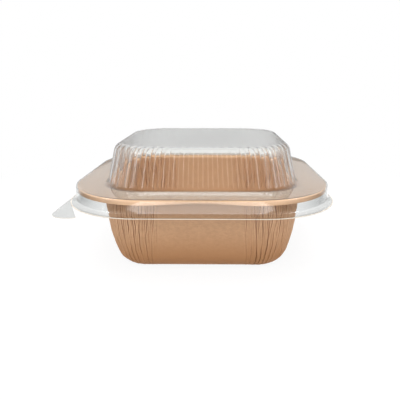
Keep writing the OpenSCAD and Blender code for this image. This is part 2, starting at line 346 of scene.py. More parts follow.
class PressTree:
    """A geometry tree that lays a shell's points on its rounded squares and presses its pattern."""

    def __init__(self, name: str, sizes: dict[str, float]) -> None:
        """Starts the tree.

        Args:
            name: The tree's name.
            sizes: Named sizes, which become its inputs.
        """
        self.sizes = sizes
        self.tree = bpy.data.node_groups.new(name, "GeometryNodeTree")
        face = self.tree.interface
        face.new_socket("Shell", in_out="INPUT", socket_type=Socket.GEOMETRY.value)
        for label in sizes:
            face.new_socket(label, in_out="INPUT", socket_type=Socket.NUMBER.value)
        face.new_socket("Outside", in_out="INPUT", socket_type=Socket.MATERIAL.value)
        face.new_socket("Inside", in_out="INPUT", socket_type=Socket.MATERIAL.value)
        face.new_socket("Pressed", in_out="OUTPUT", socket_type=Socket.GEOMETRY.value)
        self.inlet = self.tree.nodes.new("NodeGroupInput")
        self.outlet = self.tree.nodes.new("NodeGroupOutput")
        self.half, self.corner = self.named("half"), self.named("corner")
        self.turn, self.quarter = self.named("turn"), self.named("quarter")

    def named(self, label: str) -> Field:
        """Reads a number kept on the points.

        Args:
            label: The number's name.

        Returns:
            The number.
        """
        node = self.tree.nodes.new("GeometryNodeInputNamedAttribute")
        node.data_type = "FLOAT"
        node.inputs["Name"].default_value = label
        return Field(self.tree, node.outputs["Attribute"])

    def size(self, label: str) -> Field:
        """Reads one of the tree's named sizes."""
        return Field(self.tree, self.inlet.outputs[label])

    def lay(self, turn: Field, flat: Field, panel_turns: Field,
            corner_turns: Field) -> tuple[Field, Field, Field, Field]:
        """Lays the points of the rings on a quarter of a rounded square, then turns the quarter.

        Args:
            turn: Where each point lies along the quarter.
            flat: Half of the plain panel in the middle of a side.
            panel_turns: Turns counted below 0 along the panel.
            corner_turns: Turns counted from 0 round the corner to the next panel.

        Returns:
            x, y, and the level normal's two parts.
        """
        straight = self.half - self.corner - flat
        bend = self.corner * (math.pi / 2)
        round_way = turn.at_least(0.0) / corner_turns * (straight * 2.0 + bend)
        way = round_way + turn.at_most(0.0) / panel_turns * (flat * 2.0)
        angle = ((way - straight) / self.corner).at_least(0.0).at_most(math.pi / 2)
        cosine, sine = angle.math("COSINE"), angle.math("SINE")
        x = (self.half - self.corner) + self.corner * cosine - (way - straight - bend).at_least(0.0)
        y = flat + way.at_most(straight) + self.corner * sine
        swing = self.quarter * (math.pi / 2)
        c, s = swing.math("COSINE"), swing.math("SINE")
        return (x * c - y * s, x * s + y * c, cosine * c - sine * s, cosine * s + sine * c)

    def finish(self, place: tuple[Field, Field, Field, Field], rise: Field, proud: Field,
               marks: dict[str, Field]) -> None:
        """Sets the points, keeps the marks for the finishes, and gives the faces their materials.

        Args:
            place: What lay() returned.
            rise: Height of each point.
            proud: How far the pattern moves each point along the surface's normal.
            marks: Numbers to keep on the points, by name.
        """
        tree, links = self.tree, self.tree.links
        tilt = self.named("tilt") * (math.pi / 180)
        level, up = proud * tilt.math("COSINE"), proud * tilt.math("SINE")
        x, y, nx, ny = place
        setter = tree.nodes.new("GeometryNodeSetPosition")
        links.new(self.inlet.outputs["Shell"], setter.inputs["Geometry"])
        links.new((1.0 - self.named("free")).socket, setter.inputs["Selection"])
        links.new(vector(x + level * nx, y + level * ny, rise + up, tree), setter.inputs["Position"])
        last = setter.outputs["Geometry"]
        for label, value in marks.items():
            keeper = tree.nodes.new("GeometryNodeStoreNamedAttribute")
            keeper.data_type, keeper.domain = "FLOAT", "POINT"
            keeper.inputs["Name"].default_value = label
            links.new(last, keeper.inputs["Geometry"])
            links.new(value.socket, keeper.inputs["Value"])
            last = keeper.outputs["Geometry"]
        realize = tree.nodes.new("GeometryNodeRealizeInstances")
        links.new(last, realize.inputs[0])
        last = realize.outputs[0]
        for label, selected in (("Outside", None), ("Inside", self.named("side"))):
            painter = tree.nodes.new("GeometryNodeSetMaterial")
            links.new(last, painter.inputs["Geometry"])
            links.new(self.inlet.outputs[label], painter.inputs["Material"])
            if selected is not None:
                links.new(selected.math("GREATER_THAN", 0.5).socket, painter.inputs["Selection"])
            last = painter.outputs["Geometry"]
        links.new(last, self.outlet.inputs["Pressed"])

    def press(self, shell: bpy.types.Object, outside: bpy.types.Material,
              inside: bpy.types.Material) -> bpy.types.Object:
        """Runs the tree on a shell and returns the result as a plain mesh.

        Args:
            shell: The shell's object, which is removed.
            outside: Finish of the outer side.
            inside: Finish of the inner side.

        Returns:
            The pressed piece, under the shell's name.
        """
        modifier = shell.modifiers.new("Press", "NODES")
        modifier.node_group = self.tree
        values = {**self.sizes, "Outside": outside, "Inside": inside}
        for item in self.tree.interface.items_tree:
            if item.in_out == "INPUT" and item.name in values:
                modifier[item.identifier] = values[item.name]
        seen = shell.evaluated_get(bpy.context.evaluated_depsgraph_get())
        mesh = bpy.data.meshes.new_from_object(seen)
        name = shell.name
        raw = shell.data
        bpy.data.objects.remove(shell)
        bpy.data.meshes.remove(raw)
        mesh.name = name
        made = bpy.data.objects.new(name, mesh)
        bpy.context.scene.collection.objects.link(made)
        return made


def soften(piece: bpy.types.Object, sharp_from: float) -> None:
    """Shades a piece smooth, apart from its sharp edges.

    Args:
        piece: The piece.
        sharp_from: Angle between two faces, in degrees, from which their edge stays sharp.
    """
    piece.data.shade_smooth()
    piece.data.set_sharp_from_angle(angle=math.radians(sharp_from))


class ShaderGroup:
    """A shader node group with named inputs and outputs."""

    def __init__(self, name: str, inputs: dict[str, Union[float, None]], outputs: Sequence[str]) -> None:
        """Starts the group.

        Args:
            name: The group's name.
            inputs: Named numbers with their first values, or None for a vector.
            outputs: Names of the numbers that it gives.
        """
        self.tree = bpy.data.node_groups.new(name, "ShaderNodeTree")
        for label, value in inputs.items():
            kind = Socket.VECTOR if value is None else Socket.NUMBER
            made = self.tree.interface.new_socket(label, in_out="INPUT", socket_type=kind.value)
            if value is not None:
                made.default_value = value
        for label in outputs:
            self.tree.interface.new_socket(label, in_out="OUTPUT", socket_type=Socket.NUMBER.value)
        self.inlet = self.tree.nodes.new("NodeGroupInput")
        self.outlet = self.tree.nodes.new("NodeGroupOutput")

    def value(self, label: str) -> Field:
        """Reads an input."""
        return Field(self.tree, self.inlet.outputs[label])

    def give(self, label: str, value: Field) -> None:
        """Sends a number to an output."""
        self.tree.links.new(value.socket, self.outlet.inputs[label])


def blend(tree: bpy.types.NodeTree, a: Value, b: Value, share: Field) -> bpy.types.NodeSocket:
    """Mixes two colours by a share that varies over the surface.

    Args:
        tree: The material's tree.
        a: Colour at share 0.
        b: Colour at share 1.
        share: The share.

    Returns:
        The mixed colour's socket.
    """
    node = tree.nodes.new("ShaderNodeMix")
    node.data_type = "RGBA"
    feed(tree, (node.inputs["Factor"], node.inputs[MIX_A], node.inputs[MIX_B]), (share, a, b))
    return node.outputs[MIXED]


def bumps(tree: bpy.types.NodeTree, height: Value, strength: float, distance: float) -> bpy.types.NodeSocket:
    """Turns a height into bumps.

    Args:
        tree: The material's tree.
        height: The height, about 0 to 1.
        strength: How much of it shows.
        distance: Height of 1, in metres.

    Returns:
        The normal's socket.
    """
    node = tree.nodes.new("ShaderNodeBump")
    return dress(tree, node, {"Height": height, "Strength": strength, "Distance": distance}).outputs[0]


def stored(tree: bpy.types.NodeTree, label: str) -> Field:
    """Reads a number that the geometry tree kept on the piece.

    Args:
        tree: The material's tree.
        label: The number's name.

    Returns:
        The number.
    """
    node = tree.nodes.new("ShaderNodeAttribute")
    node.attribute_name = label
    return Field(tree, node.outputs["Fac"])


def start_material(name: str) -> tuple[bpy.types.Material, bpy.types.Node, bpy.types.NodeSocket]:
    """Starts a material with one Principled shader.

    Args:
        name: The material's name.

    Returns:
        The material, its shader, and the place on the piece.
    """
    made = bpy.data.materials.new(name)
    made.use_nodes = True
    tree = made.node_tree
    tree.nodes.clear()
    shader = tree.nodes.new("ShaderNodeBsdfPrincipled")
    dress(tree, tree.nodes.new("ShaderNodeOutputMaterial"), {"Surface": shader.outputs[0]})
    return made, shader, tree.nodes.new("ShaderNodeTexCoord").outputs["Object"]


def fibre_group() -> bpy.types.NodeTree:
    """Builds the group for paper: soft clouds, and thin fibres that lie in several directions.

    Returns:
        The group's tree. It puts out Cloud, Fibre and Height.
    """
    group = ShaderGroup("Paper fibres", {"Place": None, "Fibre scale": 900.0, "Cloud scale": 120.0},
                        ("Cloud", "Fibre", "Height"))
    tree = group.tree
    place = group.value("Place").socket
    total: Union[Field, None] = None
    for turn, stretch in ((0.3, 7.0), (1.4, 9.0), (2.5, 6.0)):
        mapping = dress(tree, tree.nodes.new("ShaderNodeMapping"), {
            "Vector": place, "Rotation": (turn * 0.7, turn * 1.3, turn), "Scale": (1.0, stretch, stretch)})
        strand = noise(tree, mapping.outputs[0], group.value("Fibre scale") * 0.14, 1.0).ramp(0.56, 0.72)
        total = strand if total is None else total + strand
    clouds = noise(tree, place, group.value("Cloud scale"), 4.0, 0.6).ramp(0.3, 0.7)
    group.give("Cloud", clouds)
    group.give("Fibre", total.at_most(1.0))
    group.give("Height", total * 0.6 + clouds * 0.4)
    return tree


@dataclass(frozen=True)
class BoardFinish:
    """Brown paper board with fibres and soft clouds; darker creases (fold tone and painted shade), painted
    highlights on ridges and painted shade at its foot.
    """

    name: str
    colour: Colour
    fibre_colour: Colour
    # The fold colour is the folds' own tone with painted shade for the shade inside the grooves.
    fold_and_shade_colour: Colour
    # The lip colour is a painted highlight on the raised ridges and on the rim's rolled edge.
    ridge_highlight_colour: Colour
    roughness: float
    coat: float
    bump: float
    # The foot values paint shade towards the foot of the wall: its share, its span of heights and its tint.
    foot_shade: float
    fibre_scale: float = 3000.0
    cloud_scale: float = 420.0
    cloud_tone: float = 0.94
    fibre_share: float = 0.35
    fibre_shine: float = 0.08
    fold_and_shade_share: float = 0.85
    foot_shade_span: Span = (2 * MM, 34 * MM)
    foot_shade_tint: tuple[float, float, float] = (0.68, 0.53, 0.37)
    bump_height: float = 0.1 * MM
    coat_roughness: float = 0.35
    index: float = 1.45

    def material(self, fibres: bpy.types.NodeTree) -> bpy.types.Material:
        """Builds the material.

        Args:
            fibres: The group for paper.

        Returns:
            The material.
        """
        made, shader, place = start_material(self.name)
        tree = made.node_tree
        paper = tree.nodes.new("ShaderNodeGroup")
        paper.node_tree = fibres
        dress(tree, paper, {"Place": place, "Fibre scale": self.fibre_scale, "Cloud scale": self.cloud_scale})
        fibre = Field(tree, paper.outputs["Fibre"])
        # Painted shade: darker towards the foot of the wall, for the shade on the lower wall that curves
        # under towards the floor.
        low = part(tree, place, "Z").ramp(*self.foot_shade_span, 1.0, 0.0)
        foot = [v * tint for v, tint in zip(linear(*self.colour), self.foot_shade_tint)]
        cloudy = linear(*[round(v * self.cloud_tone) for v in self.colour])
        tone: Value = linear(*self.colour)
        for colour, share in (
                (cloudy, Field(tree, paper.outputs["Cloud"])),
                (linear(*self.fibre_colour), fibre * self.fibre_share),
                # Painted highlight: the raised ridges beside the creases and the rim's rolled edge at the
                # corners are lighter, for the light they catch.
                (linear(*self.ridge_highlight_colour), stored(tree, "lip")),
                # Partly painted shade: the creases are darker, for the fold's own tone and for the shade
                # inside the grooves.
                (linear(*self.fold_and_shade_colour), stored(tree, "crease") * self.fold_and_shade_share),
                ((*foot, 1.0), low * self.foot_shade)):
            tone = blend(tree, tone, colour, share)
        dress(tree, shader, {
            "Base Color": tone, "Roughness": self.roughness - fibre * self.fibre_shine,
            "Normal": bumps(tree, paper.outputs["Height"], self.bump, self.bump_height),
            "Coat Weight": self.coat, "Coat Roughness": self.coat_roughness, "IOR": self.index})
        return made


@dataclass(frozen=True)
class FilmFinish:
    """Thin clear plastic film that is greyer where it is seen slantwise, and thinner where it was drawn up.

    It lets the lamps' light through to the tray. The spans of the dome and the skirt are heights in metres,
    and those of the slant run from 0, seen straight on, to 1.
    """

    name: str
    colour: Colour
    slant_colour: Colour
    drawn_slant_colour: Colour
    skirt_colour: Colour
    roughness: float
    index: float
    shade: float
    slant: Span = (0.1, 0.75)
    skirt_slant: Span = (0.03, 0.22)
    drawn: Span = (51 * MM, 54 * MM)
    skirt_foot: Span = (42.4 * MM, 43.4 * MM)
    skirt_top: Span = (49.6 * MM, 50.3 * MM)
    haze_scale: float = 260.0
    ripple_scale: float = 90.0
    ripple_strength: float = 0.05
    ripple_height: float = 0.2 * MM

    def material(self) -> bpy.types.Material:
        """Builds the material.

        Returns:
            The material.
        """
        made, shader, place = start_material(self.name)
        tree = made.node_tree
        rise = part(tree, place, "Z")
        weight = dress(tree, tree.nodes.new("ShaderNodeLayerWeight"), {"Blend": 0.5})
        facing = Field(tree, weight.outputs["Facing"])
        hanging = rise.ramp(*self.skirt_top, 1.0, 0.0) * rise.ramp(*self.skirt_foot)
        dense = blend(tree, linear(*self.slant_colour), linear(*self.drawn_slant_colour),
                      rise.ramp(*self.drawn))
        tone = blend(tree, linear(*self.colour), linear(*self.skirt_colour),
                     facing.ramp(*self.skirt_slant) * hanging)
        haze = noise(tree, place, self.haze_scale, 3.0, 0.6)
        ripple = noise(tree, place, self.ripple_scale, 1.0)
        path = tree.nodes.new("ShaderNodeLightPath")
        lit = Field(tree, path.outputs["Is Shadow Ray"]).at_least(Field(tree, path.outputs["Is Diffuse Ray"]))
        dress(tree, shader, {
            "Base Color": blend(tree, tone, dense, facing.ramp(*self.slant)),
            "Metallic": 0.0, "Transmission Weight": 1.0, "IOR": self.index,
            "Roughness": haze * self.roughness + self.roughness * 0.5,
            "Normal": bumps(tree, ripple, self.ripple_strength, self.ripple_height),
            "Alpha": 1.0 - lit * (1.0 - self.shade)})
        return made


@dataclass(frozen=True)
class EdgeFinish:
    """Cut edge of the film, whitish and frosted; its pale colour also paints the highlight of light that the
    edge pipes and catches.
    """

    name: str
    colour: Colour
    roughness: float
    clear_share: float = 0.35
    nick_scale: float = 1500.0
    nick_tone: float = 0.9
    nick_roughness: float = 0.3

    def material(self) -> bpy.types.Material:
        """Builds the material.

        Returns:
            The material.
        """
        made, shader, place = start_material(self.name)
        tree = made.node_tree
        nicks = noise(tree, place, self.nick_scale)
        # Partly painted highlight: the pale colour is the frosted edge's own and also the light piped along
        # the edge.
        pale, dull = linear(*self.colour), linear(*[round(v * self.nick_tone) for v in self.colour])
        dress(tree, shader, {
            "Base Color": blend(tree, pale, dull, nicks), "Transmission Weight": self.clear_share,
            "Roughness": nicks * self.nick_roughness + self.roughness})
        return made


@dataclass(frozen=True)
class Crease:
    """One main crease: where its middle lies, its depth, and 1 where there is such a crease."""

    middle: Field
    depth: Field
    there: Field


@dataclass
class PaperTray:
    """The tray: one sheet of pressed paper board. Sizes are in metres."""

    height: float = 50.5 * MM
    board: float = 0.6 * MM
    rim_half: float = 75.4 * MM
    rim_corner: float = 46 * MM
    mouth_half: float = 59.5 * MM
    mouth_corner: float = 24.3 * MM
    mouth_round: float = 2.2 * MM
    base_half: float = 40.5 * MM
    base_corner: float = 20 * MM
    base_round: float = 13.2 * MM
    wall_bow: float = 1.45 * MM
    edge_round: float = 1 * MM
    edge_drop_middle: float = 1.5 * MM
    edge_drop_corner: float = 2.9 * MM
    edge_drop_reach: float = 30 * MM
    panel_half: float = 24 * MM
    panel_spread: float = 5 * MM
    panel_turns: int = 13
    creases: int = 16
    crease_depth: float = 0.55 * MM
    crease_width: float = 0.08
    lip_height: float = 0.2 * MM
    short_depth: float = 0.35 * MM
    short_reach: float = 0.65
    wander: float = 1.3
    swell: float = 0.12 * MM
    fine_depth: float = 0.5
    # How dark the fine and short creases are painted: the fold's tone and painted shade in the groove.
    fine_fold_shade: float = 0.6
    short_fold_shade: float = 0.85
    # Painted shadow line along the hem's foot at the corners.
    hem_shade_mark: float = 0.2
    # Band of painted highlight on the rim's rolled edge at the corners.
    rim_highlight_band: Span = (1.2 * MM, 0.2 * MM)
    seed: float = 11.0
    reach_spread: Spread = (0.3, 0.7, 0.7, 1.25)
    short_spread: Spread = (0.32, 0.6, 0.35, 1.0)
    fine_spread: Spread = (0.4, 0.6, 1.0, 0.3)
    depth_spread: Spread = (0.36, 0.64, 0.15, 1.3)
    base_steps: int = 8
    outer_wall_steps: int = 24
    inner_wall_steps: int = 14
    outer_mouth_steps: int = 4
    inner_mouth_steps: int = 6
    inner_edge_steps: int = 3
    outer_edge_steps: int = 4
    sharp_from: float = 50.0
    crease_steps: tuple[float, ...] = (0.0, 0.04, 0.08, 0.155, 0.24, 0.34, 0.42, 0.46, 0.5, 0.54, 0.58,
                                       0.66, 0.76, 0.845, 0.92, 0.96)
    panel_steps: tuple[float, ...] = (0.0, 0.08, 0.16, 0.3, 0.6, 1.2, 2.2, 3.4, 4.8)

    def __post_init__(self) -> None:
        """Works out the lean of the wall at its foot and at its top, from the upright."""
        run = self.mouth_half - self.mouth_round - self.base_half - self.base_round
        rise = self.height - self.mouth_round - self.base_round
        self.foot_lean = math.atan((run + 4 * self.wall_bow) / rise)
        self.top_lean = math.atan((run - 4 * self.wall_bow) / rise)

    def wall_top(self, inset: float) -> tuple[float, float]:
        """Half-width and height of a wall face's top; inset is 0 on the outside."""
        reach = self.mouth_round - self.board + inset
        return (self.mouth_half - reach * math.cos(self.top_lean),
                self.height - self.mouth_round + reach * math.sin(self.top_lean))

    def wall_foot(self, inset: float) -> tuple[float, float]:
        """Half-width and height of a wall face's foot; inset is 0 on the outside."""
        reach = self.base_round - inset
        return (self.base_half + reach * math.cos(self.foot_lean),
                self.base_round - reach * math.sin(self.foot_lean))

    def wall_corner(self, inset: float, down: float) -> float:
        """Corner radius of a wall face a share of the way down."""
        return mix(self.mouth_corner - self.mouth_round + self.board, self.base_corner, down) - inset

    def wall(self, inset: float, steps: int) -> list[Ring]:
        """Makes the rings of one face of the wall.

        Args:
            inset: 0 on the outside, the board's thickness on the inside.
            steps: Bands down the wall.

        Returns:
            Rings from the mouth to the foot.
        """
        top, foot, rings = self.wall_top(inset), self.wall_foot(inset), []
        for i in range(steps + 1):
            down = i / steps
            bow = 4 * self.wall_bow * down * (1 - down)
            tilt = -math.degrees(mix(self.top_lean, self.foot_lean, down))
            rings.append(Ring(mix(top[0], foot[0], down) + bow, mix(top[1], foot[1], down),
                              self.wall_corner(inset, down), tilt, 1.0, down, 0.0, float(inset > 0)))
        return rings

    def base(self, inset: float, steps: int) -> list[Ring]:
        """Makes the rings of the rounded bottom edge, from the flat to just short of the wall.

        Args:
            inset: 0 on the outside, the board's thickness on the inside.
            steps: Bands round the edge.

        Returns:
            The rings.
        """
        rings, reach = [], self.base_round - inset
        for i in range(steps):
            share = i / steps
            a = mix(-math.pi / 2, -self.foot_lean, share)
            half = self.base_half + reach * math.cos(a)
            corner = self.wall_corner(inset, 1) - (self.wall_foot(inset)[0] - half)
            rings.append(Ring(half, self.base_round + reach * math.sin(a), corner, math.degrees(a),
                              smooth(share * 1.5), 1.0, 0.0, float(inset > 0)))
        return rings

    def mouth(self, radius: float, steps: int, side: float) -> list[Ring]:
        """Makes the rings over the edge of the mouth, without its two ends.

        Args:
            radius: Radius of the face.
            steps: Bands round the edge.
            side: Which finish they have.

        Returns:
            Rings from the wall up to the rim.
        """
        rings = []
        for i in range(1, steps):
            a = mix(math.pi - self.top_lean, math.pi / 2, i / steps)
            rings.append(Ring(self.mouth_half + radius * math.cos(a),
                              self.height - self.mouth_round + radius * math.sin(a),
                              self.mouth_corner + radius * math.cos(a), 180 - math.degrees(a),
                              1 - smooth(i / steps), 0.0, 0.0, side))
        return rings

    def rim(self, half: float, rise: float, hem: float = 0.0, side: float = 0.0) -> Ring:
        """A plain ring of the rim."""
        return Ring(half, rise, self.rim_corner + half - self.rim_half, 0.0, 0.0, 0.0, hem, side)

    def edge(self, radius: float, steps: int) -> list[Ring]:
        """Makes rings over the turned-down edge, from its side up to its top.

        Args:
            radius: Radius of the face.
            steps: Bands.

        Returns:
            The rings.
        """
        rings = []
        for i in range(steps + 1):
            a = math.pi / 2 * i / steps
            rings.append(self.rim(self.rim_half - self.edge_round + radius * math.cos(a),
                                  self.height - self.edge_round + radius * math.sin(a)))
        return rings

    def rings(self) -> list[Ring]:
        """Makes all the rings: out along the underside, up the outside, over the rim, down the inside.

        Returns:
            The rings in order.
        """
        hem_foot = self.height - self.edge_drop_middle
        hem_top = self.height - self.edge_round
        under = self.height - self.board
        inner_edge = list(reversed(self.edge(self.edge_round - self.board, self.inner_edge_steps)))
        hem = [(t, mix(hem_top, hem_foot, t)) for t in THIRDS]
        outer = self.base(0, self.base_steps) + list(reversed(self.wall(0, self.outer_wall_steps)))
        outer += self.mouth(self.mouth_round - self.board, self.outer_mouth_steps, 0)
        rim_under = [Ring(mix(self.mouth_half, self.rim_half, t), under,
                          mix(self.mouth_corner, self.rim_corner, t)) for t in (0.0, 0.3)]
        down = [self.rim(self.rim_half - self.board, z, share) for share, z in hem]
        up = [self.rim(self.rim_half, z, share, 1.0) for share, z in reversed(hem)]
        top = [Ring(mix(self.rim_half - self.edge_round, self.mouth_half, t), self.height,
                    mix(self.rim_corner - self.edge_round, self.mouth_corner, t), 90.0, 0, 0, 0, 1.0)
               for t in THIRDS]
        inner = list(reversed(self.mouth(self.mouth_round, self.inner_mouth_steps, 1.0)))
        inner += self.wall(self.board, self.inner_wall_steps) + list(
            reversed(self.base(self.board, self.base_steps)))
        outer_edge = [replace(ring, side=1.0) for ring in self.edge(self.edge_round, self.outer_edge_steps)]
        return outer + rim_under + inner_edge + down + up + outer_edge + top + inner

    def turns(self) -> list[float]:
        """Makes the points of one quarter, in crease spacings: below 0 along the plain panel.

        Returns:
            The turns.
        """
        near, middle = self.panel_steps, -self.panel_turns / 2
        panel = [-self.panel_turns + t for t in near] + [middle] + [-t for t in reversed(near[1:])]
        return panel + [n + step for n in range(self.creases) for step in self.crease_steps]

    def tree(self) -> PressTree:
        """Builds the tree that lays the rings and presses the creases.

        Returns:
            The tree.
        """
        press = PressTree("Creased paper wall", {
            "Panel half": self.panel_half, "Panel spread": self.panel_spread,
            "Panel turns": self.panel_turns, "Creases": self.creases,
            "Crease depth": self.crease_depth, "Short depth": self.short_depth,
            "Short reach": self.short_reach, "Wander": self.wander, "Swell": self.swell,
            "Crease width": self.crease_width, "Lip height": self.lip_height,
            "Rim half": self.rim_half, "Drop reach": self.edge_drop_reach,
            "Corner drop": self.edge_drop_corner - self.edge_drop_middle,
            "Seed": self.seed,
        })
        down, share = press.named("down"), press.named("press")
        cell = press.turn.math("FLOOR")
        local = press.turn - cell
        before, after = (self.crease(press, cell + float(step), down) for step in (0, 1))
        joined = before.there * after.there
        fork = self.draw(press, cell * 3.7, press.quarter * 9.1, 0.0, 3.0)
        stray = self.draw(press, cell * 6.3, press.quarter * 5.3 + down * 2.6, 7.0)
        reach = press.size("Short reach") * fork.ramp(*self.reach_spread)
        side = (fork * 40.0).math("FRACT").math("GREATER_THAN", 0.5)
        middle = (before.middle + after.middle) * 0.5
        target = before.middle + (after.middle - before.middle) * side
        middle = middle + ((target - middle) * down.ramp(0.0, reach) * 0.6 + (stray - 0.5) * 0.5) * joined
        turn = (before.middle + (middle - before.middle) * (local * 2.0).at_most(1.0)
                + (after.middle - middle) * (local * 2.0 - 1.0).at_least(0.0))
        flat = press.size("Panel half") + press.size("Panel spread") * 0.5 * down
        place = press.lay(turn, flat, press.size("Panel turns"), press.size("Creases"))
        width = press.size("Crease width")
        fade = down.ramp(reach * 0.7, reach, 1.0, 0.0) * joined
        short_depth = fade * stray.ramp(*self.short_spread)
        mains = [self.notch(turn - one.middle, width * (one.depth * 0.5 + 0.6)) * one.depth
                 for one in (before, after)]
        lips = [self.lip(turn - one.middle, width) * one.depth for one in (before, after)]
        main = mains[0].at_least(mains[1])
        short = self.notch(turn - middle, width * 0.9) * short_depth
        lip = lips[0].at_least(lips[1]).at_least(self.lip(turn - middle, width) * short_depth)
        halves = (local * 2.0).math("FRACT") * 2.0 - 1.0
        fine = self.notch(halves, 0.3) * stray.ramp(*self.fine_spread) * joined
        whole = local * 2.0 - 1.0
        land = ((1.0 - halves * halves) * fade + (1.0 - whole * whole) * (1.0 - fade)) * joined
        pressed = (press.size("Swell") * land + press.size("Lip height") * lip
                   - press.size("Crease depth") * main
                   - press.size("Short depth") * (short + fine * self.fine_depth)) * share
        x, y = place[0].math("ABSOLUTE"), place[1].math("ABSOLUTE")
        low = (x.at_most(y) / press.size("Drop reach")).ramp(0.0, 1.0)
        rise = press.named("rise") - low * press.size("Corner drop") * press.named("hem")
        # The crease mark paints the folds darker: the fold's own tone, and painted shade for the shade inside
        # the grooves.
        fold_and_shade_mark = main.at_least(short * self.short_fold_shade).at_least(fine * self.fine_fold_shade).at_most(1.0) * share
        # Painted shadow: a dark line along the hem's lower edge at the corners, for the shadow gap between
        # the hem and the lid's skirt.
        cut = press.named("hem").ramp(0.6, 1.0) * low * self.hem_shade_mark
        # Painted highlight: the rim's rolled edge at the corners gets the lighter lip colour, for the light
        # it catches.
        edge = press.half.ramp(*(press.size("Rim half") - inset for inset in self.rim_highlight_band)) * low
        # The lip mark paints a highlight on the raised ridges beside the creases.
        press.finish(place, rise, pressed, {"crease": fold_and_shade_mark.at_least(cut),
                                            "lip": (lip * share).at_least(edge)})
        return press

    @staticmethod
    def draw(press: PressTree, along: Field, across: Field, apart: float, scale: float = 1.0) -> Field:
        """Draws numbers from the seed, far enough apart for each crease to get its own.

        Args:
            press: The tree.
            along: First part of the place in the noise.
            across: Second part of it.
            apart: Added to the seed, so that each use draws others.
            scale: How fast they change.

        Returns:
            The draw, about 0.5 with 0.2 on either side.
        """
        return noise(press.tree, vector(along, across, press.size("Seed") + apart, press.tree), scale)

    @staticmethod
    def notch(distance: Field, width: Number) -> Field:
        """A notch's depth at a distance from its middle: 1 in the middle and 0 past its width."""
        return (1.0 - distance.math("ABSOLUTE") / width).at_least(0.0)

    def lip(self, distance: Field, width: Field) -> Field:
        """The height of the raised lips on either side of a notch."""
        return self.notch(distance.math("ABSOLUTE") - width * 1.9, width)

    def crease(self, press: PressTree, number: Field, down: Field) -> Crease:
        """Builds one main crease.

        Args:
            press: The tree.
            number: The crease's number in its quarter.
            down: Share of the way down the wall.

        Returns:
            The crease.
        """
        creases = press.size("Creases")
        whole = creases + press.size("Panel turns")
        key = (press.quarter * whole + number).math("FLOORED_MODULO", whole * float(QUARTERS))
        place = number.math("FLOORED_MODULO", whole)
        there = place.math("LESS_THAN", creases + 0.5)
        inward = place.at_most(creases - place).at_least(0.0)
        lean = self.draw(press, key * 7.31, down * 2.1, 0.0)
        depth = self.draw(press, key * 5.17 + 40.0, down * 3.6, 3.0)
        middle = number + (lean - 0.5) * press.size("Wander") * there * inward.ramp(-1.0, 4.0)
        return Crease(middle, depth.ramp(*self.depth_spread) * there * inward.ramp(-1.5, 3.5), there)

    def build(self, outside: BoardFinish, inside: BoardFinish,
              fibres: bpy.types.NodeTree) -> bpy.types.Object:
        """Builds and dresses the tray.

        Args:
            outside: Finish of the outer side.
            inside: Finish of the inner side and the top of the rim.
            fibres: The group for paper.

        Returns:
            The piece, riding on its body.
        """
        shell = Shell("paper_tray", self.rings(), self.turns()).build()
        made = self.tree().press(shell, outside.material(fibres), inside.material(fibres))
        soften(made, self.sharp_from)
        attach(made, "tray")
        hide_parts("tray")
        return made


